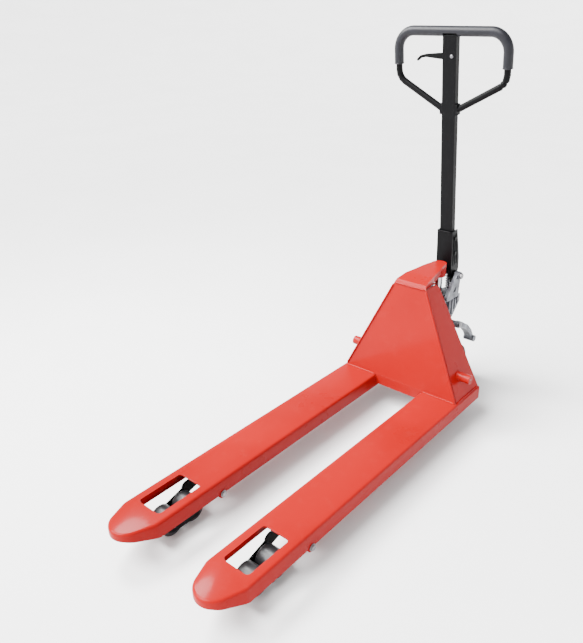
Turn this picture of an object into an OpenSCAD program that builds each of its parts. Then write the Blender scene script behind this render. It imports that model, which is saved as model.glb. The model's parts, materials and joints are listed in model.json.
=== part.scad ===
// Hand pallet jack: two steel forks on a welded bulkhead, tandem load rollers
// on swinging knees, a steered hydraulic pump and a pumping tow handle.
// Millimetres. +Z up, forks point to -Y, handle at +Y, +X is the right-hand fork.
// The origin is on the floor under the middle of the whole jack.

/* [Overall size] */
// Length of each fork, nose to bulkhead
fork_length = 1150; // [800:10:1500]
// Width over both forks
overall_width = 500; // [450:5:700]
// Fork top above the floor when fully lowered
lowered_height = 85; // [80:1:95]
// Full lifting travel
lift_travel = 115; // [90:1:120]
// How far the forks stand above their lowest position at rest
rest_lift = 37; // [0:1:110]

/* [Forks] */
// Width of one fork
fork_width = 150; // [140:1:180]
// Thickness of the folded fork sheet
sheet = 5; // [4:0.5:6]
// Depth of the fork side skirts
skirt = 50; // [46:1:52]
// Rounding of the fork's upper edges
edge_round = 8; // [6:1:10]
// Length of the tapered fork nose
taper_length = 102; // [80:1:140]
// Radius of the fork nose seen from above
nose_radius = 58; // [40:1:60]
// Skirt depth left at the nose
nose_skirt = 26; // [25:1:40]
// Length of the roller window in each fork
window_length = 158; // [150:1:180]
// Width of the roller window in each fork
window_width = 92; // [90:1:96]
// Depth of the turned-down edge round the window
window_lip = 14; // [8:1:18]
// Distance from bulkhead to the roller window
window_start = 868; // [550:1:1200]
// Length of the fork heel behind the bulkhead face
heel_length = 172; // [160:1:180]

/* [Bulkhead] */
// Height of the bulkhead face above the fork tops
face_height = 378; // [370:1:400]
// How far the face foot stops short of the fork's outer edge
foot_inset = 7; // [5:1:10]
// Half width of the face at its top
face_top = 66; // [60:1:70]
// How far the face leans back over its height
face_lean = 46; // [30:1:50]
// Plate thickness of face and side plates
plate = 8; // [6:1:10]
// Depth of a side plate at its top
side_top = 132; // [110:1:140]
// Thickness of the head plate
head_plate_t = 12; // [10:1:14]
// Radius of the head plate's rounded nose
head_nose = 28; // [26:1:30]

/* [Lift linkage] */
// Rocker pivot behind the bulkhead face
rocker_y = 75; // [70:1:80]
// Rocker pivot above the fork tops
rocker_z = 72; // [68:1:76]
// Rocker lower arm radius
rocker_low = 44; // [43:1:45]
// Knee pivot in front of the bulkhead face
knee_y = 810; // [520:1:1170]
// Knee arm, pivot to bogie pin
knee_arm = 126; // [125:1:135]
// Height of the push rod pin above the knee pivot
horn_height = 22; // [21:0.5:23]
// Pivot shaft diameter at the knees
knee_shaft = 16; // [14:1:18]
// Push rod bar width
rod_width = 13; // [10:1:14]

/* [Load rollers] */
// Load roller diameter
roller_d = 76; // [68:1:78]
// Load roller width
roller_w = 64; // [60:1:64]
// Spacing of the two roller axles in a bogie
roller_gap = 80; // [74:1:84]
// Roller axle diameter
roller_axle_d = 16; // [14:1:18]

/* [Steering] */
// Steering wheel diameter
wheel_d = 180; // [160:1:180]
// Steering wheel width
wheel_w = 50; // [40:1:52]
// Distance between the wheel centre planes
wheel_track = 110; // [104:1:112]
// Wheel axle behind the steering axis
trail = 56; // [30:1:58]
// Steering axis behind the bulkhead face
pump_y = 250; // [245:1:255]
// Steering wheel axle diameter
axle_d = 25; // [20:1:26]

/* [Pump] */
// Lifting ram diameter
ram_d = 34; // [30:1:36]
// Outside diameter of the lifting cylinder
cylinder_d = 76; // [66:1:76]
// Pump piston diameter
piston_d = 20; // [16:1:22]
// Running clearance of shafts and pistons, on the radius
run_fit = 0.05; // [0.03:0.01:0.09]

/* [Tow handle] */
// Handle pivot to the middle of the grip bar
handle_reach = 870; // [800:1:950]
// Lean of the resting handle towards the forks, degrees
handle_lean = 6.8; // [6:0.1:7]
// Outside width of the grip loop
loop_width = 432; // [400:1:440]
// Height of the grip loop
loop_height = 246; // [236:1:262]
// Width of the drawbar tube
bar_width = 50; // [44:1:50]
// Depth of the drawbar tube
bar_depth = 25; // [22:1:28]
// Diameter of the bare loop tube
loop_d = 22; // [18:1:25]
// Diameter over the soft grip
grip_d = 32; // [30:1:36]
// Length of the control lever
lever_length = 128; // [115:1:135]

/* [Hidden] */
$fn = 48;
red = [0.86, 0.2, 0.17];
black = [0.08, 0.08, 0.09];
cast = [0.6, 0.62, 0.65];
steel = [0.5, 0.5, 0.52];
grey = [0.3, 0.31, 0.33];
H = lowered_height + rest_lift;
fork_x = (overall_width - fork_width) / 2;
rear_reach = pump_y + 205;
face_foot = overall_width / 2 - foot_inset;
lean_deg = atan(face_lean / face_height);
y_shift = (fork_length - rear_reach) / 2;
mid_lift = lift_travel / 2 - rest_lift;
arm_reach = pump_y - rocker_y;
rocker_ratio = atan((lift_travel / 2) / arm_reach) / (lift_travel / 2);
rocker_tilt = rocker_ratio * mid_lift;
rocker_h = H + rocker_z;
knee_ratio = 0.52;
roller_z = roller_d / 2;
knee_h = lowered_height - 50;
knee_z = H - 50;
knee_dip = asin((knee_z - roller_z) / knee_arm);
horn_tilt = knee_ratio * mid_lift;
pin_y = rocker_y + rocker_low * sin(rocker_tilt);
pin_z = rocker_h - rocker_low * cos(rocker_tilt);
push_z = knee_z + horn_height + rocker_low * (1 - cos(rocker_tilt));
push_y = -knee_y + (push_z - knee_z) * tan(horn_tilt) + 0.5;
bogie_y = -knee_y - knee_arm * cos(knee_dip);
carrier_z = rocker_h + mid_lift;
wheel_y = pump_y + trail;
wheel_z = wheel_d / 2;
wheel_x = wheel_track / 2;
web_half = wheel_x - wheel_w / 2 - 8;
neck_r = 32;
ring_top = carrier_z + 12;
bearing_top = ring_top + 12;
body_z = bearing_top + 0.4;
head_top = H + face_height + 30;
cylinder_top = 412;
seat_drop = 38;
pivot_y = pump_y + 65;
pivot_z = 472;
piston_y = pivot_y + 24;
piston_top = pivot_z + 0.5;
housing_top = 395;
lug_in = fork_width / 2 - 9;
lug_out = fork_width / 2 + 0.5;
cheek_in = 27;
cheek_out = 32;
lever_drop = 75;
pedal_y = pump_y + 33;
pedal_z = 284;

// Everything is laid out from the bulkhead foot, then centred over the origin.
module place() {
  translate([0, y_shift, 0])
    children();
}

// Cylinder along X from x0 to x1, about the point (y, z).
module rod_x(x0, x1, y, z, r) {
  translate([x0, y, z])
    rotate([0, 90, 0])
      cylinder(r = r, h = x1 - x0);
}

// Flat plate in the YZ plane between x0 and x1.
module plate_x(x0, x1) {
  translate([x0, 0, 0])
    rotate([90, 0, 90])
      linear_extrude(x1 - x0)
        children();
}

function arc_points(y, z, r, a0, a1) =
  [for (i = [0 : 16]) [y + r * cos(a0 + (a1 - a0) * i / 16), z + r * sin(a0 + (a1 - a0) * i / 16)]];

// Outline of a link between two eyes, with straight flanks touching both.
module link(ya, za, ra, yb, zb, rb) {
  run = atan2(zb - za, yb - ya);
  open = acos((ra - rb) / norm([yb - ya, zb - za]));
  polygon(concat(arc_points(ya, za, ra, run + open, run + 360 - open),
    arc_points(yb, zb, rb, run - open, run + open)));
}

module box(x0, x1, y0, y1, z0, z1) {
  translate([x0, y0, z0])
    cube([x1 - x0, y1 - y0, z1 - z0]);
}

module ring(r_out, r_in, z0, z1, y = 0) {
  translate([0, y, z0])
    difference() {
      cylinder(r = r_out, h = z1 - z0);
      translate([0, 0, -1]) cylinder(r = r_in, h = z1 - z0 + 2);
    }
}

// One level of the fork's plan, drawn in from the edge by inset.
module fork_level(inset, z) {
  translate([0, 0, z])
    linear_extrude(0.01)
      hull() {
        translate([-fork_width / 2 + inset, -fork_length + taper_length + 40])
          square([fork_width - 2 * inset, fork_length - taper_length - 40]);
        for (s = [-1, 1])
          translate([s * (fork_width / 2 - 44), -fork_length + taper_length])
            circle(r = 44 - inset, $fn = 40);
        translate([0, -fork_length + nose_radius])
          circle(r = nose_radius - inset, $fn = 40);
      }
}

// Solid fork blank with rounded upper edges.
module fork_blank(inset, top, round_r) {
  hull() {
    fork_level(inset, H - skirt - 5);
    for (a = [0, 30, 60, 90])
      fork_level(inset + round_r * (1 - cos(a)), top - round_r + round_r * sin(a) - 0.01);
  }
}

module window_outline() {
  translate([0, -window_start - window_length / 2])
    offset(r = 12, $fn = 24)
      square([window_width - 24, window_length - 24], center = true);
}

// Lower edge of the skirt rises along the tapered nose.
module skirt_cut() {
  plate_x(-fork_width, fork_width)
    polygon([[-fork_length - 20, H - nose_skirt], [-fork_length + 12, H - nose_skirt],
      [-fork_length + taper_length, H - skirt], [10, H - skirt], [10, H - skirt - 20],
      [-fork_length - 20, H - skirt - 20]]);
}

module fork_channel(side) {
  translate([side * fork_x, 0, 0])
    difference() {
      fork_blank(0, H, edge_round);
      difference() {
        fork_blank(sheet, H - sheet, edge_round - sheet + 1);
        box(-fork_width, fork_width, -fork_length - 10, -fork_length + 14, 0, H);
        translate([0, 0, H - window_lip])
          linear_extrude(window_lip)
            intersection() {
              offset(delta = 3) window_outline();
              translate([-fork_width / 2, -window_start - window_length - 10])
                square([fork_width, window_length - 10]);
            }
      }
      box(-fork_width / 2 + sheet, fork_width / 2 - sheet, -60, 2, H - skirt - 9, H - sheet);
      translate([0, 0, H - 20])
        linear_extrude(40)
          window_outline();
      skirt_cut();
      for (s = [-1, 1])
        box(s > 0 ? lug_in - 0.1 : -lug_out - 4.5, s > 0 ? lug_out + 4.5 : 0.1 - lug_in,
          -knee_y - 20, -knee_y + 20, H - skirt - 9, H - 32);
    }
}

module fork_left() {
  color(red) place() fork_channel(-1);
}

module fork_right() {
  color(red) place() fork_channel(1);
}

// Folded channel behind the bulkhead face, open above the linkage.
module heel_section(inset, top, round_r) {
  hull()
    for (a = [0, 30, 60, 90])
      translate([-fork_width / 2 + inset + round_r * (1 - cos(a)), 0, H - skirt - 10])
        cube([fork_width - 2 * (inset + round_r * (1 - cos(a))), heel_length,
          skirt + 10 + top - H - round_r + round_r * sin(a)]);
}

module heel(side) {
  translate([side * fork_x, 0, 0])
    difference() {
      heel_section(0, H, edge_round);
      difference() {
        translate([0, -1, 0]) heel_section(sheet, H - sheet, edge_round - sheet + 1);
        box(-fork_width, fork_width, heel_length - sheet, heel_length + 5, 0, H);
      }
      box(-fork_width, fork_width, -5, heel_length + 5, H - skirt - 30, H - skirt);
      translate([0, 0, H - 20])
        linear_extrude(40)
          translate([0, 81])
            offset(r = 10, $fn = 24)
              square([80 - 20, 138 - 20], center = true);
    }
}

module heel_left() {
  color(red) place() heel(-1);
}

module heel_right() {
  color(red) place() heel(1);
}

// Trapezoid face plate with a lower band that ties the two forks.
module front_plate() {
  inner = fork_x - fork_width / 2;
  color(red) place()
    union() {
      difference() {
        translate([0, 0, H])
          rotate([90 - atan(face_lean / face_height), 0, 0])
            translate([0, 0, -plate])
              linear_extrude(plate)
                polygon([[-face_foot, -4], [face_foot, -4], [face_top, face_height / cos(lean_deg)],
                  [-face_top, face_height / cos(lean_deg)]]);
        box(-300, 300, -20, 40, H - 20, H);
      }
      box(-inner, inner, 0, plate, H - 36, H);
      box(-inner, inner, 0.3, plate, H - 1, H + 4);
    }
}

// Sloping side wall of the bulkhead.
module side_plate_shape(side) {
  slope = atan((face_foot - face_top) / face_height);
  run = face_height / cos(slope);
  back = plate / cos(lean_deg);
  difference() {
    translate([side * face_foot, 0, H])
      rotate([0, -side * slope, 0])
        translate([side > 0 ? -plate : 0, 0, 0])
          rotate([90, 0, 90])
            linear_extrude(plate)
              polygon([[back, -6], [heel_length - 2, -6], [heel_length - 2, 8], [side_top, run - 12],
                [side_top - 14, run], [face_lean + back + 0.2, run]]);
    box(-overall_width, overall_width, -50, 400, H - 30, H);
    box(-overall_width, overall_width, -50, 400, H + face_height - 0.1, H + face_height + 40);
    rod_x(-overall_width, overall_width, rocker_y, rocker_h, 17);
    rod_x(-fork_x - 13.4, fork_x + 13.4, rocker_y, rocker_h, 25.4);
  }
}

module side_plate_left() {
  color(red) place() side_plate_shape(-1);
}

module side_plate_right() {
  color(red) place() side_plate_shape(1);
}

// Outline of the head plate seen from above.
module head_outline() {
  union() {
    polygon([[-face_top, face_lean], [face_top, face_lean], [face_top - 5, face_lean + 8],
      [face_top - 11, face_lean + 59], [face_top - 19, face_lean + 96], [38, pump_y - 53],
      [head_nose, pump_y - 10], [head_nose, pump_y], [-head_nose, pump_y], [-head_nose, pump_y - 10],
      [-38, pump_y - 53], [-face_top + 19, face_lean + 96], [-face_top + 11, face_lean + 59],
      [-face_top + 5, face_lean + 8]]);
    translate([0, pump_y]) circle(r = head_nose);
  }
}

// Head plate: bevelled front strip, rising deck and round nose over the ram.
module head_plate() {
  color(red) place()
    intersection() {
      translate([0, 0, head_top - 60])
        linear_extrude(70)
          head_outline();
      plate_x(-100, 100)
        polygon([[face_lean - 1, head_top - 30], [face_lean + 8, head_top - 16],
          [face_lean + 59, head_top - 6], [pump_y - 35, head_top], [pump_y + 60, head_top],
          [pump_y + 60, head_top - head_plate_t], [side_top, head_top - head_plate_t],
          [side_top, head_top - 30]]);
    }
}

// Two gussets under the overhanging head plate.
module head_gussets() {
  color(red) place()
    for (s = [-1, 1])
      plate_x(s * 22 - 5, s * 22 + 5)
        polygon([[face_lean + 16, head_top - 30], [face_lean + 16, head_top - 100],
          [face_lean + 30, head_top - 100], [pump_y - 96, head_top - 56],
          [pump_y - 45, head_top - 40], [pump_y - 30, head_top - 30],
          [pump_y - 30, head_top - head_plate_t], [side_top, head_top - head_plate_t],
          [side_top, head_top - 30]]);
}

// Socket under the head plate that takes the ram.
module ram_seat() {
  color(red) place()
    ring(head_nose - 0.4, ram_d / 2 + run_fit, head_top - head_plate_t - seat_drop,
      head_top - head_plate_t, pump_y);
}

// Lifting ram, pressed up into its socket.
module ram() {
  color([0.8, 0.8, 0.82]) place()
    translate([0, pump_y, 301])
      union() {
        cylinder(r = ram_d / 2, h = head_top - head_plate_t - 301 - 2);
        cylinder(r = ram_d / 2 - 2, h = head_top - head_plate_t - 301);
      }
}

// Round bosses that carry the rocker shaft through the side plates.
module boss(side) {
  inner = fork_x + 15.3;
  outer = fork_x + 81;
  difference() {
    rod_x(side > 0 ? inner : -outer, side > 0 ? outer : -inner, rocker_y, rocker_h, 17);
    rod_x(-fork_x - 60, fork_x + 60, rocker_y, rocker_h, 12 + run_fit);
  }
}

module rocker_boss_left() {
  color(red) place() boss(-1);
}

module rocker_boss_right() {
  color(red) place() boss(1);
}

module rocker_shaft() {
  color(steel) place()
    rod_x(-fork_x - 59, fork_x + 59, rocker_y, rocker_h, 12);
}

// Lugs that hang the knee shafts below the fork skirts.
module knee_lugs() {
  color(red) place()
    for (f = [-1, 1], s = [-1, 1])
      translate([f * fork_x, 0, 0])
        difference() {
          plate_x(s > 0 ? lug_in : -lug_out, s > 0 ? lug_out : -lug_in)
            union() {
              link(-knee_y, knee_z, 16, -knee_y, knee_z + 2, 16);
              translate([-knee_y - 20, H - skirt + 2]) square([40, 16]);
            }
          rod_x(-lug_out - 14, lug_out + 14, -knee_y, knee_z, knee_shaft / 2 + run_fit);
        }
}

module knee_shafts() {
  color(steel) place()
    for (f = [-1, 1])
      translate([f * fork_x, 0, 0]) {
        rod_x(-lug_out - 6.5, lug_out + 6.5, -knee_y, knee_z, knee_shaft / 2);
      }
}

// Retaining rings on the outer ends of the knee shafts.
module shaft_rings() {
  color(steel) place()
    for (f = [-1, 1], s = [-1, 1])
      translate([f * fork_x, 0, 0])
        difference() {
          rod_x(s > 0 ? lug_out + 0.1 : -lug_out - 3.5, s > 0 ? lug_out + 3.5 : -lug_out - 0.1,
            -knee_y, knee_z, 11.5);
          rod_x(-lug_out - 14, lug_out + 14, -knee_y, knee_z, knee_shaft / 2);
        }
}

// Distance tubes between knee plates and lugs.
module knee_spacers() {
  color(steel) place()
    for (f = [-1, 1], s = [-1, 1])
      translate([f * fork_x, 0, 0])
        difference() {
          rod_x(s > 0 ? 44 : 0.1 - lug_in, s > 0 ? lug_in - 0.1 : -44, -knee_y, knee_z, 12);
          rod_x(-lug_out - 14, lug_out + 14, -knee_y, knee_z, knee_shaft / 2);
        }
}

// Flat straps across the underside of each fork.
module fork_straps() {
  color(red) place()
    for (f = [-1, 1], y = [-250, -520, -760])
      box(f * fork_x - fork_width / 2 + sheet, f * fork_x + fork_width / 2 - sheet, y - 30, y + 30,
        H - skirt, H - skirt + 6);
}

// Bearing bracket round the pump neck, with the two rocker pins.
module carrier_ring() {
  color(red) place()
    difference() {
      union() {
        translate([0, pump_y, carrier_z - 12]) cylinder(r = 46, h = ring_top - carrier_z + 12);
        rod_x(-74, 74, pump_y, carrier_z, 10);
      }
      translate([0, pump_y, carrier_z - 30]) cylinder(r = neck_r + 0.08, h = 60);
    }
}

module thrust_bearing() {
  color(steel) place()
    ring(45, neck_r + 1, ring_top, bearing_top, pump_y);
}

// Rocker: torsion tube, two slotted rear arms, two pairs of lower arms.
module rocker() {
  slot_mid = arm_reach + 4.6;
  a = rocker_tilt;
  color(red) place()
    difference() {
      union() {
        rod_x(-fork_x - 13, fork_x + 13, rocker_y, rocker_h, 24);
        for (s = [-1, 1]) {
          plate_x(s * 62 - 6, s * 62 + 6) {
            link(rocker_y, rocker_h, 28, rocker_y + 75, rocker_h + 20, 17);
            link(rocker_y + 75, rocker_h + 20, 17,
              rocker_y + slot_mid * cos(a), rocker_h + slot_mid * sin(a), 19);
          }
          for (c = [-1, 1])
            plate_x(s * fork_x + c * 10 - 3, s * fork_x + c * 10 + 3)
              link(rocker_y, rocker_h, 25, pin_y, pin_z, 14);
        }
      }
      rod_x(-300, 300, rocker_y, rocker_h, 12 + run_fit);
      rod_x(-300, -100, pin_y, pin_z, 7);
      rod_x(100, 300, pin_y, pin_z, 7);
      translate([0, rocker_y, rocker_h])
        rotate([a, 0, 0])
          for (s = [-1, 1])
            plate_x(s * 62 - 10, s * 62 + 10)
              link(slot_mid - 5.5, 0, 11, slot_mid + 5.5, 0, 11);
    }
}

module rocker_pins() {
  color(steel) place()
    for (s = [-1, 1])
      rod_x(s * fork_x - 16, s * fork_x + 16, pin_y, pin_z, 7);
}

// Push rod: flat bar with a raised rear eye, running under the fork top.
module push_rod(side) {
  w = rod_width / 2;
  translate([side * fork_x, 0, 0])
    difference() {
      union() {
        plate_x(-w, w) {
          link(push_y, push_z, 8, push_y + 40, push_z, 8);
          translate([push_y, push_z - 8]) square([pin_y + 10 - push_y, 16]);
        }
        plate_x(-w, w)
          link(pin_y, pin_z, 13, pin_y - 10, push_z + 2, 10);
      }
      rod_x(-30, 30, pin_y, pin_z, 7 + run_fit);
    }
  rod_x(side * fork_x - 17, side * fork_x + 17, push_y, push_z, 5);
}

module push_rod_left() {
  color(steel) place() push_rod(-1);
}

module push_rod_right() {
  color(steel) place() push_rod(1);
}

// Knee: two side arms, hub tube and a slotted horn for the push rod.
module knee(side) {
  translate([side * fork_x, 0, 0])
    difference() {
      union() {
        rod_x(-43.5, 43.5, -knee_y, knee_z, 12);
        for (s = [-1, 1]) {
          plate_x(s * 41 - 2.5, s * 41 + 2.5) {
            link(-knee_y, knee_z, 17, bogie_y, roller_z, 16);
            link(-knee_y, knee_z, 17, -knee_y - 45, knee_z - 4, 20);
          }
          plate_x(s * 11.5 - 3, s * 11.5 + 3)
            translate([-knee_y, knee_z])
              rotate(-horn_tilt)
                link(0, 0, 14, 0, horn_height + 7, 10.5);
        }
      }
      rod_x(-60, 60, -knee_y, knee_z, knee_shaft / 2 + run_fit);
      rod_x(-60, 60, bogie_y, roller_z, 7 + run_fit);
      translate([0, -knee_y, knee_z])
        rotate([-horn_tilt, 0, 0])
          plate_x(-20, 20)
            link(0, horn_height - 0.5, 6.3, 0, horn_height + 6.5, 6.3);
    }
}

module knee_left() {
  color(black) place() knee(-1);
}

module knee_right() {
  color(black) place() knee(1);
}

// Bogie: two side plates joined by the roller axles, with stub pins for the knee arms.
module bogie(side) {
  translate([side * fork_x, 0, 0])
    union() {
      for (s = [-1, 1]) {
        plate_x(s * 35 - 2, s * 35 + 2)
          link(bogie_y - roller_gap / 2, roller_z, 22, bogie_y + roller_gap / 2, roller_z, 22);
        rod_x(s > 0 ? 34 : -46, s > 0 ? 46 : -34, bogie_y, roller_z, 7);
      }
      for (k = [-1, 1])
        rod_x(-37.8, 37.8, bogie_y + k * roller_gap / 2, roller_z, roller_axle_d / 2);
    }
}

module bogie_left() {
  color(black) place() bogie(-1);
}

module bogie_right() {
  color(black) place() bogie(1);
}

// Load roller with chamfered rims and a bearing recess in each end.
module roller(side, k) {
  h = roller_w / 2;
  r = roller_d / 2;
  color(grey) place()
    translate([side * fork_x, bogie_y + k * roller_gap / 2, roller_z])
      rotate([0, 90, 0])
        rotate_extrude()
          polygon([[roller_axle_d / 2 + run_fit, -h + 1], [14, -h + 1], [15, -h + 4], [24, -h + 4],
            [25, -h], [r - 3, -h], [r, -h + 3], [r, h - 3], [r - 3, h], [25, h], [24, h - 4],
            [15, h - 4], [14, h - 1], [roller_axle_d / 2 + run_fit, h - 1]]);
}

module roller_left_front() {
  roller(-1, -1);
}

module roller_left_rear() {
  roller(-1, 1);
}

module roller_right_front() {
  roller(1, -1);
}

module roller_right_rear() {
  roller(1, 1);
}

// Steered base of the pump: neck, web and wheel axle hub.
module pump_base() {
  color(cast) place()
    difference() {
      union() {
        translate([0, pump_y, wheel_d + 6]) cylinder(r = neck_r, h = body_z - wheel_d - 6);
        plate_x(-web_half, web_half)
          hull() {
            translate([pump_y - 26, wheel_d - 10]) square([52, 22]);
            translate([wheel_y, wheel_z]) circle(r = 26, $fn = 40);
          }
        rod_x(-web_half - 4, web_half + 4, wheel_y, wheel_z, 24);
      }
      rod_x(-60, 60, wheel_y, wheel_z, axle_d / 2);
    }
}

// Ring under the bearing bracket that keeps it on the neck.
module retaining_ring() {
  color(steel) place()
    ring(39, neck_r + 0.02, carrier_z - 20, carrier_z - 12.4, pump_y);
}

// Pump body: collar, lifting cylinder, piston housing, pedal lug and handle ears.
module pump_body() {
  color(cast) place()
    difference() {
      union() {
        translate([0, pump_y, body_z]) cylinder(r = 45, h = 16);
        translate([0, pump_y, body_z]) cylinder(r = cylinder_d / 2, h = cylinder_top - body_z);
        translate([0, piston_y, 302]) cylinder(r = 22, h = housing_top - 302);
        box(-20, 20, pump_y, piston_y, 306, 384);
        rod_x(14, 51.5, pedal_y, pedal_z, 13);
        for (s = [-1, 1]) {
          box(s > 0 ? 20 : -48, s > 0 ? 48 : -20, pump_y, pump_y + 62, 386, 408);
          plate_x(s > 0 ? 42 : -54, s > 0 ? 54 : -42)
            union() {
              link(pump_y - 6, 400, 12, pivot_y, pivot_z, 16);
              link(pivot_y - 4, 398, 12, pivot_y, pivot_z, 16);
              translate([pump_y - 6, 388]) square([pivot_y - pump_y + 2, 24]);
            }
          rod_x(s > 0 ? 40 : -60, s > 0 ? 60 : -40, pivot_y, pivot_z, 15);
        }
      }
      translate([0, pump_y, 262]) cylinder(r = ram_d / 2 + run_fit, h = 300);
      translate([0, piston_y, 308]) cylinder(r = piston_d / 2 + run_fit, h = 300);
      rod_x(-80, 80, pivot_y, pivot_z, 8);
    }
}

// Gland nut on top of the lifting cylinder.
module gland_nut() {
  color(steel) place()
    difference() {
      translate([0, pump_y, cylinder_top]) cylinder(r = 27, h = 12, $fn = 6);
      translate([0, pump_y, cylinder_top - 10]) cylinder(r = ram_d / 2 + run_fit, h = 40);
    }
}

// Oil tank on the back of the pump, sloping below, with cast ribs.
module reservoir() {
  color(cast) place()
    difference() {
      union() {
        plate_x(-44, 44)
          offset(r = 5, $fn = 24)
            polygon([[pump_y + 30, 305], [pump_y + 53, 305], [pump_y + 102, 354], [pump_y + 102, 379],
              [pump_y + 30, 379]]);
        for (s = [-1, 1], k = [0 : 2])
          box(s > 0 ? 43.9 : -48.5, s > 0 ? 48.5 : -43.9, pump_y + 42 + 20 * k, pump_y + 48 + 20 * k,
            314 + 16 * k, 378);
      }
      translate([0, pump_y, 200]) cylinder(r = cylinder_d / 2, h = 300);
      translate([0, piston_y, 200]) cylinder(r = 22, h = 300);
      box(-20, 20, pump_y, piston_y, 306, 384);
    }
}

module filler_plug() {
  color(steel) place()
    translate([32, pump_y + 84, 384])
      union() {
        cylinder(r = 9, h = 5, $fn = 6);
        cylinder(r = 5, h = 8);
      }
}

module handle_pin() {
  color(steel) place()
    union() {
      rod_x(-60, 60, pivot_y, pivot_z, 8);
      rod_x(60, 63, pivot_y, pivot_z, 11);
      rod_x(-63, -60, pivot_y, pivot_z, 11);
    }
}

module wheel_axle() {
  reach = wheel_x + wheel_w / 2 + 2;
  color(steel) place()
    rod_x(-reach, reach, wheel_y, wheel_z, axle_d / 2);
}

module axle_washers() {
  reach = wheel_x + wheel_w / 2 + 2;
  color(steel) place()
    for (s = [-1, 1])
      union() {
        rod_x(s > 0 ? reach : -reach - 3, s > 0 ? reach + 3 : -reach, wheel_y, wheel_z, 17);
        rod_x(s > 0 ? reach + 3 : -reach - 8, s > 0 ? reach + 8 : -reach - 3, wheel_y, wheel_z, 8);
      }
}

// Solid tyre of a steering wheel.
module tyre(side) {
  h = wheel_w / 2;
  r = wheel_d / 2;
  color(black) place()
    translate([side * wheel_x, wheel_y, wheel_z])
      rotate([0, 90, 0])
        rotate_extrude()
          polygon([[r - 22, -h], [r - 7, -h], [r - 2, -h + 3], [r, -h + 9], [r, h - 9],
            [r - 2, h - 3], [r - 7, h], [r - 22, h]]);
}

// Cast hub of a steering wheel.
module hub(side) {
  h = wheel_w / 2;
  r = wheel_d / 2 - 22;
  color(cast) place()
    translate([side * wheel_x, wheel_y, wheel_z])
      rotate([0, 90, 0])
        rotate_extrude()
          polygon([[axle_d / 2 + run_fit, -h], [24, -h], [26, -h + 12], [r - 10, -h + 14], [r - 7, -h + 1],
            [r, -h + 1], [r, h - 1], [r - 7, h - 1], [r - 10, h - 14], [26, h - 12], [24, h],
            [axle_d / 2 + run_fit, h]]);
}

module tyre_left() {
  tyre(-1);
}

module tyre_right() {
  tyre(1);
}

module hub_left() {
  hub(-1);
}

module hub_right() {
  hub(1);
}

// Pump piston with its round cap.
module piston() {
  color([0.8, 0.8, 0.82]) place()
    translate([0, piston_y, 350])
      union() {
        cylinder(r = piston_d / 2, h = piston_top - 350);
        translate([0, 0, piston_top - 358]) cylinder(r = 14, h = 8);
      }
}

// Return spring of the pump piston, drawn as stacked coils.
module piston_spring() {
  coils = 7;
  pitch = (piston_top - 8 - housing_top) / coils;
  color(steel) place()
    for (i = [0 : coils - 1])
      translate([0, piston_y, housing_top + pitch * (i + 0.5)])
        rotate_extrude()
          translate([piston_d / 2 + 2.1, 0]) circle(r = 1.8, $fn = 12);
}

// Release pedal: arched cast arm ending in a round foot bar.
module pedal() {
  y0 = pedal_y;
  z0 = pedal_z;
  color(cast) place()
    difference() {
      union() {
        rod_x(52, 90, y0, z0, 13);
        plate_x(56, 86)
          union() {
            link(y0, z0, 10, y0 + 40, z0 - 15, 9);
            link(y0 + 40, z0 - 15, 9, y0 + 80, z0 - 39, 9);
            link(y0 + 80, z0 - 39, 9, y0 + 114, z0 - 72, 9);
            link(y0 + 114, z0 - 72, 9, y0 + 140, z0 - 112, 8);
          }
        rod_x(50, 94, y0 + 141, z0 - 113, 13);
      }
      rod_x(0, 100, y0, z0, 7 + run_fit);
    }
}

module pedal_pin() {
  color(steel) place()
    union() {
      rod_x(51.5, 92, pedal_y, pedal_z, 7);
      rod_x(92, 95, pedal_y, pedal_z, 10);
    }
}

// Everything on the handle is drawn upright about its pivot, then leaned.
module on_handle() {
  place()
    translate([0, pivot_y, pivot_z])
      rotate([handle_lean, 0, 0])
        children();
}

// Yoke: open wedge cheeks, front wall, hub halves and the roller arms.
module handle_yoke() {
  color(black) on_handle()
    difference() {
      union() {
        for (s = [-1, 1]) {
          plate_x(s > 0 ? cheek_in : -cheek_out, s > 0 ? cheek_out : -cheek_in)
            polygon([[-14, -40], [-25, -10], [-25, 30], [-17.5, 180], [20, 180], [36, 60], [33, 14],
              [22, -14], [10, -42]]);
          rod_x(s > 0 ? 14.5 : -38, s > 0 ? 38 : -14.5, 0, 0, 17);
          plate_x(s > 0 ? 14.5 : -21, s > 0 ? 21 : -14.5)
            link(0, 0, 15, 28, 12, 8);
        }
        plate_x(-cheek_in, cheek_in)
          polygon([[-25, 30], [-24, 10], [-20, 10], [-20, 30], [-13.5, 178], [-17.5, 178]]);
      }
      rod_x(-80, 80, 0, 0, 8 + run_fit);
      rod_x(-30, 30, 28, 12, 4);
    }
}

// Cam roller that presses the pump piston.
module cam_roller() {
  color(steel) on_handle()
    difference() {
      rod_x(-13.8, 13.8, 28, 12, 12);
      rod_x(-20, 20, 28, 12, 4);
    }
}

// Rectangular drawbar tube with a slot for the control lever.
module drawbar() {
  low = 62;
  wall = 3;
  color(black) on_handle()
    difference() {
      box(-bar_width / 2, bar_width / 2, -bar_depth / 2, bar_depth / 2, low,
        handle_reach - loop_d / 2 - 0.2);
      box(-bar_width / 2 + wall, bar_width / 2 - wall, -bar_depth / 2 + wall, bar_depth / 2 - wall,
        low - 1, handle_reach - 20);
      box(-bar_width / 2 - 5, -bar_width / 2 + 5, -8, 8, handle_reach - lever_drop - 24,
        handle_reach - lever_drop + 24);
      translate([10, 40, handle_reach - lever_drop])
        rotate([90, 0, 0])
          cylinder(r = 4, h = 80);
    }
}

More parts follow.
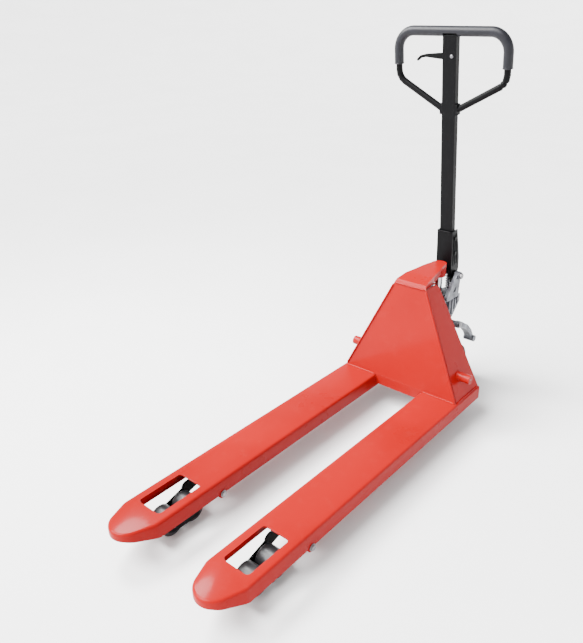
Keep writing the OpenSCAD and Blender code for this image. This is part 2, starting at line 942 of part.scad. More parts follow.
// Steel blocks that fix the drawbar in the yoke cheeks.
module drawbar_bolts() {
  color(steel) on_handle()
    for (z = [90, 150])
      for (s = [-1, 1])
        union() {
          rod_x(s > 0 ? bar_width / 2 : -cheek_in, s > 0 ? cheek_in : -bar_width / 2, 0, z, 9);
          rod_x(s > 0 ? cheek_out : -cheek_out - 5, s > 0 ? cheek_out + 5 : -cheek_out, 0, z, 7);
        }
}

// A round bar between two points of the handle plane.
module bar(p, q, r) {
  dx = q[0] - p[0];
  dz = q[1] - p[1];
  translate([p[0], 0, p[1]])
    rotate([0, atan2(dx, dz), 0])
      cylinder(r = r, h = norm([dx, dz]));
}

// A bend in the handle plane: centre c, bend radius b, from angle a over sweep s.
module bend(c, b, a, s, r) {
  translate([c[0], 0, c[1]])
    rotate([90, 0, 0])
      rotate([0, 0, a])
        rotate_extrude(angle = s)
          translate([b, 0]) circle(r = r);
}

// Closed grip loop of round tube, with welded feet on the drawbar.
module grip_loop() {
  r = loop_d / 2;
  w = loop_width / 2 - grip_d / 2;
  b = 60;
  slope = 61;
  elbow_r = 45;
  top = handle_reach;
  foot = bar_width / 2 + 6.5;
  tie = top - loop_height;
  x_low = w - elbow_r * (1 - cos(slope));
  z_low = tie + (x_low - foot) / tan(slope);
  z_bend = z_low + elbow_r * sin(slope);
  turns = [for (k = [0 : 3])
    [w - elbow_r * (1 - cos(slope * k / 3)), z_bend - elbow_r * sin(slope * k / 3)]];
  color(black) on_handle()
    union() {
      bar([-w + b, top], [w - b, top], r);
      for (s = [-1, 1]) {
        bend([s * (w - b), top - b], b, s > 0 ? 0 : 90, 90, r);
        bar([s * w, top - b], [s * w, z_bend], r);
        for (k = [0 : 2])
          bar([s * turns[k][0], turns[k][1]], [s * turns[k + 1][0], turns[k + 1][1]], r);
        for (k = [0 : 3])
          translate([s * turns[k][0], 0, turns[k][1]]) sphere(r = r + 0.4);
        bar([s * x_low, z_low], [s * foot, tie], r);
        box(s > 0 ? bar_width / 2 : -bar_width / 2 - 8, s > 0 ? bar_width / 2 + 8 : -bar_width / 2,
          -12, 12, tie - 18, tie + 18);
      }
    }
}

// Soft cover over the top bar and both shoulders of the loop.
module grip_cover() {
  r = grip_d / 2;
  inner = loop_d / 2;
  w = loop_width / 2 - grip_d / 2;
  b = 60;
  top = handle_reach;
  module cover(k, low) {
    bar([-w + b, top], [w - b, top], k);
    for (s = [-1, 1]) {
      bend([s * (w - b), top - b], b, s > 0 ? 0 : 90, 90, k);
      bar([s * w, top - b], [s * w, top - low], k);
    }
  }
  color(black) on_handle()
    difference() {
      cover(r, 108);
      cover(inner, 114);
      box(-25.4, 25.4, -50, 50, top - 40, top - 5);
    }
}

// Control lever through the drawbar slot, with a down-curved tip.
module control_lever() {
  z = handle_reach - lever_drop;
  color(black) on_handle()
    difference() {
      translate([0, 3.5, z])
        rotate([90, 0, 0])
          linear_extrude(7)
            union() {
              hull() {
                translate([10, 0]) circle(r = 10, $fn = 32);
                translate([-34, -2]) circle(r = 10, $fn = 32);
              }
              hull() {
                translate([-34, -2]) circle(r = 10, $fn = 32);
                translate([-lever_length + 36, -2]) circle(r = 5, $fn = 32);
              }
              hull() {
                translate([-lever_length + 36, -2]) circle(r = 5, $fn = 32);
                translate([-lever_length + 16, -6]) circle(r = 4.5, $fn = 32);
              }
              hull() {
                translate([-lever_length + 16, -6]) circle(r = 4.5, $fn = 32);
                translate([-lever_length + 4, -16]) circle(r = 4, $fn = 32);
              }
            }
      translate([10, 20, z])
        rotate([90, 0, 0])
          cylinder(r = 4 + run_fit, h = 40);
      translate([-8, 20, z])
        rotate([90, 0, 0])
          cylinder(r = 3.6, h = 40);
    }
}

// Small pins of the handle: cam roller pin and control lever pin.
module small_pins() {
  color(steel) on_handle()
    union() {
      rod_x(-21, 21, 28, 12, 4);
      translate([10, bar_depth / 2 + 2, handle_reach - lever_drop])
        rotate([90, 0, 0])
          difference() {
            cylinder(r = 6, h = bar_depth + 4);
            translate([0, 0, 2]) ring(20, 4, 0, bar_depth);
          }
    }
}

// Release rod inside the drawbar, hooked to the control lever.
module pull_rod() {
  z = handle_reach - lever_drop;
  color(steel) on_handle()
    union() {
      translate([-8, -6.5, 70]) cylinder(r = 2.5, h = z - 70);
      translate([-8, 4.5, z])
        rotate([90, 0, 0])
          cylinder(r = 3, h = 11);
    }
}

fork_left();
fork_right();
heel_left();
heel_right();
front_plate();
side_plate_left();
side_plate_right();
head_plate();
head_gussets();
ram_seat();
ram();
rocker_boss_left();
rocker_boss_right();
rocker_shaft();
knee_lugs();
knee_shafts();
shaft_rings();
knee_spacers();
fork_straps();
carrier_ring();
thrust_bearing();
rocker();
rocker_pins();
push_rod_left();
push_rod_right();
knee_left();
knee_right();
bogie_left();
bogie_right();
roller_left_front();
roller_left_rear();
roller_right_front();
roller_right_rear();
pump_base();
retaining_ring();
pump_body();
gland_nut();
reservoir();
filler_plug();
handle_pin();
wheel_axle();
axle_washers();
tyre_left();
tyre_right();
hub_left();
hub_right();
piston();
piston_spring();
pedal();
pedal_pin();
handle_yoke();
cam_roller();
small_pins();
drawbar();
drawbar_bolts();
grip_loop();
grip_cover();
control_lever();
pull_rod();
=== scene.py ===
import math
import random

import bmesh
import bpy
from mathutils import Matrix, Vector
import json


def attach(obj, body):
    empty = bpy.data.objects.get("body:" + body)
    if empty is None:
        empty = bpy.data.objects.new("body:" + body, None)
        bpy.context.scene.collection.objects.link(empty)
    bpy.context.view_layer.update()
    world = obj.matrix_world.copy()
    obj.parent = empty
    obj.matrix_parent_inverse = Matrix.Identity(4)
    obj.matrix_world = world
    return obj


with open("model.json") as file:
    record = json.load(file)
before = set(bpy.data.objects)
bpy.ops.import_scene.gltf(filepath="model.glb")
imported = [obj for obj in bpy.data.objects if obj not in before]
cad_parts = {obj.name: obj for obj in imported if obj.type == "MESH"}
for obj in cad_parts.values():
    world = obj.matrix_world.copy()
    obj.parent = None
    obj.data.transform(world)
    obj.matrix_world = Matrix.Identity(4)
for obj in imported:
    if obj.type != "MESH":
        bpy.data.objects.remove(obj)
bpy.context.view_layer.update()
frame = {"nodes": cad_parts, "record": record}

nodes = frame["nodes"]
rng = random.Random(7)

# ---------------------------------------------------------------- layout, in metres
SHIFT = 0.3475
FORK_TOP = 0.122
FORK_X = 0.175
FACE_H = 0.378
HEAD_Z = FORK_TOP + FACE_H
SIDES = ((-1, "left"), (1, "right"))
FACE_FOOT = 0.243
FACE_TOP = 0.066
FACE_LEAN = 0.046
PUMP_Y = 0.250
WHEEL = (0.306, 0.090)
PIVOT = (0.315, 0.472)
LEAN = math.radians(6.8)
REACH = 0.870
LOOP = (0.200, 0.762)
KNEE = (-0.810, 0.072)
ROLLERS = (-0.9713, -0.8913)
ROLLER_Z = 0.038
PEDAL = (0.283, 0.284)


def at(x, y, z):
    """A point given from the bulkhead foot, in the row frame."""
    return Vector((x, y + SHIFT, z))


def on_handle(x, y, z):
    """A point given along the leaning handle from its pivot, in the row frame."""
    c, s = math.cos(LEAN), math.sin(LEAN)
    return at(x, PIVOT[0] + y * c - z * s, PIVOT[1] + y * s + z * c)


# ---------------------------------------------------------------- material helpers
class Graph:
    """Small helper that adds linked shader nodes."""

    def __init__(self, name):
        self.mat = bpy.data.materials.new(name)
        self.mat.use_nodes = True
        self.tree = self.mat.node_tree
        self.bsdf = self.tree.nodes["Principled BSDF"]
        self.coord = self.add("ShaderNodeTexCoord").outputs["Object"]

    def add(self, kind, **props):
        node = self.tree.nodes.new(kind)
        for key, value in props.items():
            setattr(node, key, value)
        return node

    def link(self, a, b):
        self.tree.links.new(a, b)

    def stretched(self, scale):
        m = self.add("ShaderNodeMapping")
        m.inputs["Scale"].default_value = scale
        self.link(self.coord, m.inputs["Vector"])
        return m.outputs["Vector"]

    def noise(self, scale, detail=3.0, rough=0.5, vector=None):
        n = self.add("ShaderNodeTexNoise")
        n.inputs["Scale"].default_value = scale
        n.inputs["Detail"].default_value = detail
        n.inputs["Roughness"].default_value = rough
        self.link(vector or self.coord, n.inputs["Vector"])
        return n.outputs["Fac"]

    def ramp(self, fac, stops):
        r = self.add("ShaderNodeValToRGB")
        el = r.color_ramp.elements
        while len(el) < len(stops):
            el.new(0.5)
        for e, (pos, col) in zip(el, stops):
            e.position = pos
            e.color = col if len(col) == 4 else (*col, 1.0)
        self.link(fac, r.inputs["Fac"])
        return r.outputs["Color"]

    def span(self, fac, lo, hi, out_lo, out_hi):
        m = self.add("ShaderNodeMapRange")
        for key, value in (("From Min", lo), ("From Max", hi), ("To Min", out_lo), ("To Max", out_hi)):
            m.inputs[key].default_value = value
        self.link(fac, m.inputs["Value"])
        return m.outputs["Result"]

    def mix(self, fac, a, b, mode="MIX"):
        m = self.add("ShaderNodeMix", data_type="RGBA", blend_type=mode)
        for value, key in ((fac, 0), (a, 6), (b, 7)):
            if hasattr(value, "links"):
                self.link(value, m.inputs[key])
            elif key:
                m.inputs[key].default_value = (*value, 1.0)
            else:
                m.inputs[key].default_value = value
        return m.outputs[2]

    def edge(self, radius, low, high):
        """About 1 along convex and concave edges, 0 on flat faces."""
        bevel = self.add("ShaderNodeBevel", samples=6)
        bevel.inputs["Radius"].default_value = radius
        geo = self.add("ShaderNodeNewGeometry")
        dot = self.add("ShaderNodeVectorMath", operation="DOT_PRODUCT")
        self.link(bevel.outputs["Normal"], dot.inputs[0])
        self.link(geo.outputs["Normal"], dot.inputs[1])
        return self.span(dot.outputs["Value"], high, low, 0.0, 1.0)

    def bump(self, height, strength, distance, under=None):
        b = self.add("ShaderNodeBump")
        b.inputs["Strength"].default_value = strength
        b.inputs["Distance"].default_value = distance
        self.link(height, b.inputs["Height"])
        if under is not None:
            self.link(under, b.inputs["Normal"])
        return b.outputs["Normal"]

    def finish(self, color=None, rough=None, normal=None, **sockets):
        if color is not None:
            self.link(color, self.bsdf.inputs["Base Color"])
        if rough is not None:
            self.link(rough, self.bsdf.inputs["Roughness"])
        if normal is not None:
            self.link(normal, self.bsdf.inputs["Normal"])
        for key, value in sockets.items():
            self.bsdf.inputs[key.replace("_", " ")].default_value = value
        return self.mat


def paint(name, base, light, dark, rough, edge_highlight_mix, coat, gloss=0.5):
    """Sprayed enamel: slow shade drift, orange peel, and a painted highlight along edges, where an edge mask
    lightens the colour.
    """
    g = Graph(name)
    drift = g.ramp(g.noise(3.2, 2.0), [(0.3, dark), (0.55, base), (0.8, base)])
    dust = g.span(g.noise(26.0, 5.0, 0.65), 0.55, 0.8, 0.0, 0.10)
    body = g.mix(dust, drift, light)
    # Painted highlight: an edge mask mixes the light colour in along edges, in patches, to stand in for light
    # catching them.
    painted_edge_highlight = g.edge(0.0022, 0.86, 0.995)
    patchy = g.span(g.noise(60.0, 3.0), 0.35, 0.6, 0.35, 1.0)
    amount = g.add("ShaderNodeMath", operation="MULTIPLY")
    g.link(painted_edge_highlight, amount.inputs[0])
    g.link(patchy, amount.inputs[1])
    share = g.add("ShaderNodeMath", operation="MULTIPLY")
    g.link(amount.outputs[0], share.inputs[0])
    share.inputs[1].default_value = edge_highlight_mix
    color = g.mix(share.outputs[0], body, light)
    smear = g.noise(6.0, 4.0, 0.6)
    roughness = g.span(smear, 0.3, 0.75, rough - 0.05, rough + 0.09)
    peel = g.bump(g.noise(420.0, 2.0), 0.08, 0.0006)
    waves = g.bump(g.noise(9.0, 1.0), 0.05, 0.004, peel)
    return g.finish(color, roughness, waves, Coat_Weight=coat, Coat_Roughness=0.12, Metallic=0.0,
                    Specular_IOR_Level=gloss)


def casting(name, base, light, dark):
    """Silver-painted sand casting: pebbled skin, dull hollows, and a painted highlight on the edges, lightened
    by an edge mask.
    """
    g = Graph(name)
    tone = g.ramp(g.noise(22.0, 4.0, 0.6), [(0.3, dark), (0.5, base), (0.75, light)])
    # Painted highlight: an edge mask mixes the light colour in along edges.
    color = g.mix(g.edge(0.003, 0.8, 0.99), tone, light)
    skin = g.bump(g.noise(330.0, 4.0, 0.7), 0.45, 0.0012)
    lumps = g.bump(g.noise(60.0, 2.0), 0.25, 0.002, skin)
    rough = g.span(g.noise(45.0, 3.0), 0.3, 0.7, 0.38, 0.6)
    return g.finish(color, rough, lumps, Metallic=0.55)


def metal(name, base, dark, rough, along):
    """Turned or zinc-plated steel with fine drawn lines."""
    g = Graph(name)
    cloud = g.noise(35.0, 4.0, 0.6)
    color = g.ramp(cloud, [(0.3, dark), (0.65, base), (0.9, base)])
    lines = g.noise(240.0, 3.0, 0.6, g.stretched(along))
    roughness = g.span(lines, 0.25, 0.75, rough - 0.08, rough + 0.14)
    return g.finish(color, roughness, g.bump(lines, 0.12, 0.0005), Metallic=1.0)


def elastomer(name, base, light, rough, grain, depth, gloss):
    """Rubber or cast polyurethane with a fine moulded grain and scuffs."""
    g = Graph(name)
    scuff = g.span(g.noise(38.0, 6.0, 0.7), 0.5, 0.78, 0.0, 0.7)
    color = g.mix(scuff, base, light)
    roughness = g.span(g.noise(90.0, 3.0), 0.3, 0.7, rough - 0.07, rough + 0.1)
    fine = g.bump(g.noise(grain, 3.0), depth, 0.0008)
    return g.finish(color, roughness, fine, Metallic=0.0, Specular_IOR_Level=gloss)


RED = paint("red_paint", (0.205, 0.0025, 0.0026), (0.29, 0.040, 0.036), (0.180, 0.0019, 0.0019),
            rough=0.30, edge_highlight_mix=0.75, coat=0.07, gloss=0.03)
BLACK = paint("black_paint", (0.0012, 0.0012, 0.0015), (0.010, 0.010, 0.0115), (0.0008, 0.0008, 0.0010),
              rough=0.42, edge_highlight_mix=0.45, coat=0.0, gloss=0.06)
CAST = casting("cast", (0.0975, 0.1014, 0.117), (0.2106, 0.2184, 0.2418), (0.0429, 0.04524, 0.05304))
STEEL = metal("steel", (0.2106, 0.2028, 0.2106), (0.1248, 0.1248, 0.1326), rough=0.36, along=(1.0, 14.0, 14.0))
CHROME = metal("chrome", (0.39, 0.39, 0.4056), (0.2964, 0.2964, 0.312), rough=0.16, along=(14.0, 14.0, 1.0))
GRIP = elastomer("grip", (0.002964, 0.002964, 0.00507), (0.01092, 0.01092, 0.01638),
                rough=0.44, grain=700.0, depth=0.35, gloss=0.20)
TYRE = elastomer("tyre", (0.00195, 0.00195, 0.002184), (0.00858, 0.0078, 0.00741),
                rough=0.55, grain=500.0, depth=0.3, gloss=0.10)
ROLLER = elastomer("roller", (0.01014, 0.01053, 0.0117), (0.039, 0.039, 0.04056),
                  rough=0.34, grain=420.0, depth=0.18, gloss=0.30)
FINISH = {
    "red_paint": RED, "black_paint": BLACK, "cast": CAST, "steel": STEEL,
    "chrome": CHROME, "grip": GRIP, "tyre": TYRE, "roller": ROLLER,
}

# ---------------------------------------------------------------- CAD nodes: finish and softened edges
BEVEL = {
    "cast": 0.0022, "red_paint": 0.0012, "black_paint": 0.0011, "steel": 0.0006,
    "chrome": 0.0006, "grip": 0.002, "tyre": 0.001, "roller": 0.001,
}
slots = {s["node"]: s["material_slot"] for s in frame["record"]["subparts"]}


FOLDED = ("fork_left", "fork_right")


def soften(obj, width, limit=0.62):
    """Welded vertices, small rounded edges and area-weighted shading."""
    for poly in obj.data.polygons:
        poly.use_smooth = True
    weld = obj.modifiers.new("weld", "WELD")
    weld.merge_threshold = 0.00002
    if obj.name in FOLDED:
        split = obj.modifiers.new("split", "EDGE_SPLIT")
        split.split_angle = limit
        return
    bevel = obj.modifiers.new("bevel", "BEVEL")
    bevel.width = width
    bevel.segments = 2
    bevel.limit_method = "ANGLE"
    bevel.angle_limit = limit
    bevel.harden_normals = True
    bevel.use_clamp_overlap = True
    normals = obj.modifiers.new("normals", "WEIGHTED_NORMAL")
    normals.keep_sharp = True
    normals.weight = 60


for name, obj in nodes.items():
    slot_name = slots[name]
    obj.data.materials.clear()
    obj.data.materials.append(BLACK if name == "drawbar_bolts" else FINISH[slot_name])
    soften(obj, BEVEL[slot_name])


# ---------------------------------------------------------------- new pieces
def add_mesh(name, bm, mat, body, smooth=True):
    bmesh.ops.recalc_face_normals(bm, faces=bm.faces)
    mesh = bpy.data.meshes.new(name)
    bm.to_mesh(mesh)
    bm.free()
    for poly in mesh.polygons:
        poly.use_smooth = smooth
    mesh.materials.append(mat)
    obj = bpy.data.objects.new(name, mesh)
    bpy.context.scene.collection.objects.link(obj)
    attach(obj, body)
    return obj


def bead(name, start, end, radius, body, mat=RED, step=0.0028, sides=10):
    """A rippled weld bead laid along a straight joint."""
    line = end - start
    count = max(4, int(line.length / step))
    axis = line.normalized()
    side = axis.orthogonal().normalized()
    up = axis.cross(side)
    bm = bmesh.new()
    rings = []
    for i in range(count + 1):
        t = i / count
        fade = min(1.0, 5.0 * min(t, 1.0 - t) * count / 12.0 + 0.25)
        ripple = 1.0 + 0.13 * math.sin(i * math.pi) + 0.10 * (i % 2) + rng.uniform(-0.05, 0.05)
        r = radius * min(1.0, fade) * ripple
        middle = start + line * t + side * rng.uniform(-0.1, 0.1) * radius
        ring = []
        for k in range(sides):
            a = 2.0 * math.pi * k / sides
            ring.append(bm.verts.new(middle + side * (r * math.cos(a)) + up * (r * math.sin(a))))
        rings.append(ring)
    for a, b in zip(rings, rings[1:]):
        for k in range(sides):
            bm.faces.new((a[k], a[(k + 1) % sides], b[(k + 1) % sides], b[k]))
    bm.faces.new(rings[0])
    bm.faces.new(rings[-1])
    return add_mesh(name, bm, mat, body)


def ring_bead(name, centre, axis, ring_r, radius, body, mat=RED, count=64, sides=8):
    """A weld bead that runs round a boss."""
    axis = axis.normalized()
    side = axis.orthogonal().normalized()
    up = axis.cross(side)
    bm = bmesh.new()
    rings = []
    for i in range(count):
        a = 2.0 * math.pi * i / count
        out = side * math.cos(a) + up * math.sin(a)
        r = radius * (1.0 + 0.12 * (i % 2) + rng.uniform(-0.05, 0.05))
        ring = []
        for k in range(sides):
            b = 2.0 * math.pi * k / sides
            ring.append(bm.verts.new(centre + out * (ring_r + r * math.cos(b)) + axis * (r * math.sin(b))))
        rings.append(ring)
    for i in range(count):
        a, b = rings[i], rings[(i + 1) % count]
        for k in range(sides):
            bm.faces.new((a[k], a[(k + 1) % sides], b[(k + 1) % sides], b[k]))
    return add_mesh(name, bm, mat, body)


def hex_nut(name, centre, axis, across, height, body, mat=STEEL):
    """Hexagon head with chamfered corners and a raised washer face."""
    axis = axis.normalized()
    turn = axis.to_track_quat("Z", "Y").to_matrix().to_4x4()
    bm = bmesh.new()
    r = across / math.sqrt(3.0)
    levels = ((0.0, 0.9), (height * 0.12, 1.0), (height * 0.82, 1.0), (height, 0.86))
    rings = []
    for z, k in levels:
        ring = []
        for i in range(6):
            a = math.pi * i / 3.0
            ring.append(bm.verts.new((r * k * math.cos(a), r * k * math.sin(a), z)))
        rings.append(ring)
    for a, b in zip(rings, rings[1:]):
        for i in range(6):
            bm.faces.new((a[i], a[(i + 1) % 6], b[(i + 1) % 6], b[i]))
    bm.faces.new(rings[0])
    bm.faces.new(rings[-1])
    bmesh.ops.bevel(bm, geom=list(bm.edges), offset=across * 0.02, segments=1, affect="EDGES")
    bmesh.ops.transform(bm, matrix=Matrix.Translation(centre) @ turn, verts=bm.verts)
    return add_mesh(name, bm, mat, body, smooth=False)


def face_at(u, z):
    """A point on the bulkhead face: u from -1 to 1 across, z above the fork tops."""
    k = z / FACE_H
    half = FACE_FOOT + (FACE_TOP - FACE_FOOT) * k
    return at(u * half, FACE_LEAN * k, FORK_TOP + z)


def sweep(name, points, radius, body, mat, sides=16):
    """A round bar or band along a line of points, closed at both ends."""
    bm = bmesh.new()
    rings = []
    for i, point in enumerate(points):
        a = points[max(i - 1, 0)]
        b = points[min(i + 1, len(points) - 1)]
        way = (b - a).normalized()
        side = way.cross(Vector((0.31, 0.17, 0.93))).normalized()
        up = way.cross(side)
        r = radius[i] if isinstance(radius, (list, tuple)) else radius
        rings.append([bm.verts.new(point + side * (r * math.cos(2 * math.pi * k / sides))
                                   + up * (r * math.sin(2 * math.pi * k / sides))) for k in range(sides)])
    for a, b in zip(rings, rings[1:]):
        for k in range(sides):
            bm.faces.new((a[k], a[(k + 1) % sides], b[(k + 1) % sides], b[k]))
    bm.faces.new(rings[0])
    bm.faces.new(rings[-1])
    return add_mesh(name, bm, mat, body)


def turned(name, centre, axis, profile, body, mat, count=40):
    """A turned piece: (radius, height) steps spun about an axis."""
    turn = axis.normalized().to_track_quat("Z", "Y").to_matrix().to_4x4()
    bm = bmesh.new()
    rings = []
    for r, h in profile:
        rings.append([bm.verts.new((r * math.cos(2 * math.pi * k / count),
                                    r * math.sin(2 * math.pi * k / count), h)) for k in range(count)])
    for a, b in zip(rings, rings[1:]):
        for k in range(count):
            bm.faces.new((a[k], a[(k + 1) % count], b[(k + 1) % count], b[k]))
    bm.faces.new(rings[0])
    bm.faces.new(rings[-1])
    bmesh.ops.transform(bm, matrix=Matrix.Translation(centre) @ turn, verts=bm.verts)
    return add_mesh(name, bm, mat, body)


DOME = ((0.0055, 0.0), (0.0055, 0.0012), (0.0048, 0.0024), (0.0030, 0.0033), (0.0010, 0.0036))


def scaled(profile, k, up=1.0):
    return [(r * k, h * up) for r, h in profile]


# Welds of the frame.
for side, word in SIDES:
    bead(f"weld_foot_{word}", at(side * 0.104, -0.0005, FORK_TOP + 0.001),
         at(side * 0.240, -0.0005, FORK_TOP + 0.001), 0.0034, "frame")
    bead(f"weld_corner_{word}", face_at(side * 0.992, 0.006), face_at(side * 0.985, 0.374), 0.0036, "frame")
    bead(f"weld_heel_{word}", at(side * 0.244, 0.010, FORK_TOP + 0.001),
         at(side * 0.243, 0.166, FORK_TOP + 0.001), 0.003, "frame")
    bead(f"weld_band_{word}", at(side * 0.0995, -0.0005, FORK_TOP - 0.004),
         at(side * 0.0995, -0.0005, FORK_TOP - 0.034), 0.0026, "frame")
    wall_x = FACE_FOOT - (FACE_FOOT - FACE_TOP) / FACE_H * 0.072
    ring_bead(f"weld_boss_{word}", at(side * (wall_x + 0.0012), 0.075, FORK_TOP + 0.072),
              Vector((side, 0.0, 0.47)), 0.0182, 0.0022, "frame")
    for k, (y0, y1) in enumerate(((0.058, 0.100), (0.106, 0.128))):
        bead(f"weld_head_{word}_{k}", at(side * (FACE_TOP - 0.009), y0, HEAD_Z + 0.001),
             at(side * (FACE_TOP - 0.010), y1, HEAD_Z + 0.001), 0.0026, "frame")
    bead(f"weld_gusset_{word}", at(side * 0.0275, 0.140, HEAD_Z + 0.0175),
         at(side * 0.0275, 0.214, HEAD_Z + 0.0175), 0.0022, "frame")
    for k, y in enumerate((-0.250, -0.520, -0.760)):
        for m, dx in enumerate((-0.070, 0.070)):
            bead(f"weld_strap_{word}_{k}_{m}", at(side * FORK_X + dx, y - 0.026, FORK_TOP - 0.0500),
                 at(side * FORK_X + dx, y + 0.026, FORK_TOP - 0.0500), 0.0018, "frame")
    for m, dx in enumerate((-0.0752, 0.0752)):
        bead(f"weld_lug_{word}_{m}", at(side * FORK_X + dx, KNEE[0] - 0.019, FORK_TOP - 0.0475),
             at(side * FORK_X + dx, KNEE[0] + 0.019, FORK_TOP - 0.0475), 0.0016, "frame")
bead("weld_head_front", at(-0.063, FACE_LEAN - 0.0003, HEAD_Z + 0.0004),
     at(0.063, FACE_LEAN - 0.0003, HEAD_Z + 0.0004), 0.0026, "frame")
ring_bead("weld_ram_seat", at(0.0, PUMP_Y, HEAD_Z + 0.0172), Vector((0, 0, 1)),
          0.0276, 0.0018, "frame")

# Knee pin ends, roller axle ends and bearing seals.
AXLE_END = ((0.0072, 0.0), (0.0072, 0.0009), (0.0058, 0.0015), (0.0020, 0.0009), (0.0008, 0.0004))
for side, word in SIDES:
    for out in (-1, 1):
        end = "inner" if out * side < 0 else "outer"
        turned(f"pin_cap_{word}_{end}", at(side * FORK_X + out * 0.0784, KNEE[0], KNEE[1]),
               Vector((out, 0, 0)), scaled(DOME, 1.2, 0.8), "frame", STEEL)
        for k, y in enumerate(ROLLERS):
            turned(f"axle_end_{word}_{end}_{k}", at(side * FORK_X + out * 0.0372, y, ROLLER_Z),
                   Vector((out, 0, 0)), AXLE_END, f"bogie_{word}", STEEL)
    for k, (y, row) in enumerate(zip(ROLLERS, ("front", "rear"))):
        for out in (-1, 1):
            end = "inner" if out * side < 0 else "outer"
            ring_bead(f"seal_{word}_{row}_{end}", at(side * FORK_X + out * 0.0290, y, ROLLER_Z),
                      Vector((1, 0, 0)), 0.0195, 0.0016, f"roller_{word}_{row}", TYRE)

# Steering wheels: bolt circle, axle nut and the moulding line of the tyre.
BOLTS = 6
BOLT_R = 0.041
for side, word in SIDES:
    for k in range(BOLTS):
        a = math.pi * (k + 0.5) / (BOLTS / 2)
        bolt = (WHEEL[0] + BOLT_R * math.cos(a), WHEEL[1] + BOLT_R * math.sin(a))
        turned(f"hub_bolt_{word}_{k}", at(side * 0.0665, *bolt),
               Vector((side, 0, 0)), scaled(DOME, 0.9), f"wheel_{word}", STEEL, 16)
    ring_bead(f"tyre_line_{word}", at(side * 0.055, WHEEL[0], WHEEL[1]), Vector((1, 0, 0)), 0.0896, 0.0005,
              f"wheel_{word}", TYRE, 96, 6)
    hex_nut(f"axle_nut_{word}", at(side * 0.0852, WHEEL[0], WHEEL[1]), Vector((side, 0, 0)),
            0.024, 0.004, "pump")

# Handle: grip lips, feet welds, yoke ribs and pin nuts.
for side, word in SIDES:
    low = REACH - 0.108
    ring_bead(f"grip_lip_{word}", on_handle(side * LOOP[0], 0.0, low + 0.002),
              on_handle(0, 0, 1) - on_handle(0, 0, 0), 0.0148, 0.0020, "handle", GRIP, 48, 10)
    hex_nut(f"handle_pin_nut_{word}", at(side * 0.0625, PIVOT[0], PIVOT[1]), Vector((side, 0, 0)),
            0.020, 0.006, "pump")
    for k, z in enumerate((0.608, 0.640)):
        bead(f"weld_loop_{word}_{k}",
             on_handle(side * 0.0330, -0.010, z), on_handle(side * 0.0330, 0.010, z), 0.0018, "handle", BLACK)
    for k, y in enumerate((-0.010, 0.004, 0.018)):
        sweep(f"yoke_rib_{word}_{k}",
              [on_handle(side * 0.0322, y - 0.002, 0.040), on_handle(side * 0.0326, y, 0.070),
               on_handle(side * 0.0326, y * 0.8, 0.130), on_handle(side * 0.0322, y * 0.7, 0.166)],
              [0.0012, 0.0022, 0.0020, 0.0010], "handle", BLACK, 10)
sweep("yoke_lip", [on_handle(x, -0.0178, 0.1785) for x in (-0.0300, -0.018, 0.0, 0.018, 0.0300)],
      0.0022, "handle", BLACK, 12)
turned("lever_rivet", on_handle(0.010, -0.0142, REACH - 0.075), on_handle(0, -1, 0) - on_handle(0, 0, 0),
       scaled(DOME, 0.9, 0.6), "handle", STEEL, 24)

# Pump: cylinder bands, drain plug, relief screw and the pedal's retaining clip.
for k, z in enumerate((0.262, 0.318, 0.378)):
    ring_bead(f"cylinder_band_{k}", at(0.0, PUMP_Y, z), Vector((0, 0, 1)), 0.0378, 0.0022,
              "pump", CAST, 72, 10)
hex_nut("drain_plug", at(-0.0440, 0.300, 0.322), Vector((-1, 0, 0)), 0.016, 0.007, "pump")
hex_nut("relief_screw", at(0.0480, 0.326, 0.372), Vector((1, 0, 0)), 0.012, 0.006, "pump")
turned("pedal_clip", at(0.0945, PEDAL[0], PEDAL[1]), Vector((1, 0, 0)),
       scaled(DOME, 1.1, 0.7), "pump", STEEL)
for k, (y, drop) in enumerate(((0.323, 0.0149), (0.363, 0.0389))):
    z = 0.284 - drop
    sweep(f"pedal_rib_{k}", [at(0.0565, y, z + 0.0088), at(0.071, y, z + 0.0096), at(0.0855, y, z + 0.0088)],
          0.0022, "pedal", CAST, 10)
for side, word in SIDES:
    turned(f"grease_cap_{word}", at(side * (FORK_X + 0.081 - 0.0004), 0.075, FORK_TOP + 0.072),
           Vector((side, 0, 0)), scaled(DOME, 0.6, 0.4), "frame", STEEL, 16)

# ---------------------------------------------------------------- stage, light, camera
floor_mat = Graph("floor")
floor_tone = floor_mat.ramp(floor_mat.noise(1.4, 2.0),
                            [(0.3, (0.71, 0.71, 0.71)), (0.7, (0.74, 0.74, 0.74))])
floor_mat.finish(floor_tone, floor_mat.span(floor_mat.noise(8.0), 0.3, 0.7, 0.55, 0.7))

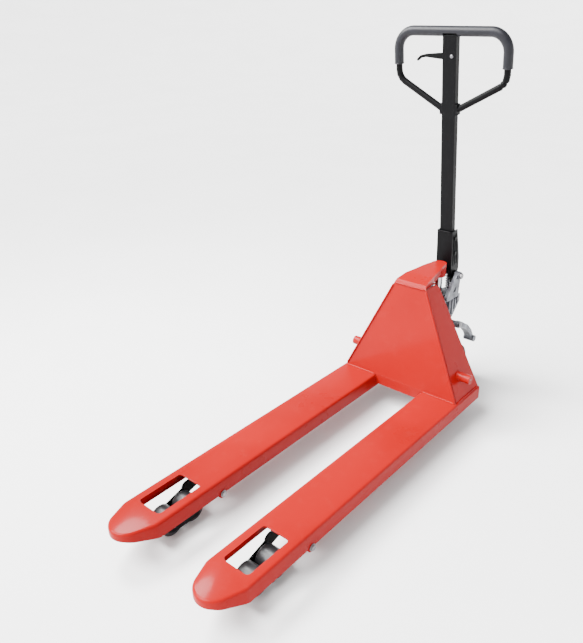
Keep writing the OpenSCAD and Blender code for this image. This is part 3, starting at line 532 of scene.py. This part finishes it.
# The floor turns up far out into a wide bowl, so that no horizon line shows: radius and height of each ring.
BOWL = ((10.0, 0.0), (13.0, 0.15), (18.0, 1.2), (75.0, 21.0))
BOWL_STEPS = 96
bm = bmesh.new()
rings = []
for radius, height in BOWL:
    turns = [k * math.tau / BOWL_STEPS for k in range(BOWL_STEPS)]
    rings.append([bm.verts.new((radius * math.cos(a), radius * math.sin(a), height)) for a in turns])
bm.faces.new(rings[0])
for low, high in zip(rings, rings[1:]):
    for k in range(BOWL_STEPS):
        after = (k + 1) % BOWL_STEPS
        bm.faces.new((low[k], high[k], high[after], low[after])).smooth = True
bmesh.ops.recalc_face_normals(bm, faces=bm.faces[:])
mesh = bpy.data.meshes.new("floor")
bm.to_mesh(mesh)
bm.free()
mesh.materials.append(floor_mat.mat)
floor = bpy.data.objects.new("floor", mesh)
floor.location.z = -0.0008
bpy.context.scene.collection.objects.link(floor)


def area(name, place, aim, size, power, tint=(1.0, 1.0, 1.0)):
    data = bpy.data.lights.new(name, "AREA")
    data.shape = "DISK"
    data.size = size
    data.energy = power
    data.color = tint
    lamp = bpy.data.objects.new(name, data)
    lamp.location = place
    lamp.rotation_euler = (Vector(aim) - Vector(place)).to_track_quat("-Z", "Y").to_euler()
    bpy.context.scene.collection.objects.link(lamp)


def sun(name, towards, power, spread, tint=(1.0, 1.0, 1.0)):
    data = bpy.data.lights.new(name, "SUN")
    data.energy = power
    data.angle = spread
    data.color = tint
    lamp = bpy.data.objects.new(name, data)
    lamp.rotation_euler = Vector(towards).to_track_quat("-Z", "Y").to_euler()
    bpy.context.scene.collection.objects.link(lamp)


sun("key", (0.50, 0.62, -0.95), 17.5, 0.8)
area("sheen", (-1.55, -0.25, 2.3), (0.0, -0.8, 0.1), 0.9, 150.0)

world = bpy.data.worlds.new("studio")
world.use_nodes = True
world.node_tree.nodes["Background"].inputs["Color"].default_value = (1.0, 1.0, 1.0, 1.0)
world.node_tree.nodes["Background"].inputs["Strength"].default_value = 1.15
bpy.context.scene.world = world

# Camera matched to the photograph: place, lens, image centre and axes.
CAMERA_AT = (1.13201, -1.85687 + SHIFT, 1.28382 + FORK_TOP)
camera_data = bpy.data.cameras.new("camera")
camera = bpy.data.objects.new("camera", camera_data)
bpy.context.scene.collection.objects.link(camera)
bpy.context.scene.camera = camera
camera_data.lens = 36.995
camera_data.shift_x = -0.0334
camera_data.shift_y = -0.0101
camera_data.clip_start = 0.05
right = Vector((0.7707186, 0.63713039, -0.00759587))
above = Vector((-0.26302873, 0.32899122, 0.90696233))
back = Vector((0.58035224, -0.69701481, 0.42114325))
turn = Matrix((right, above, back)).transposed()
camera.matrix_world = Matrix.Translation(CAMERA_AT) @ turn.to_4x4()
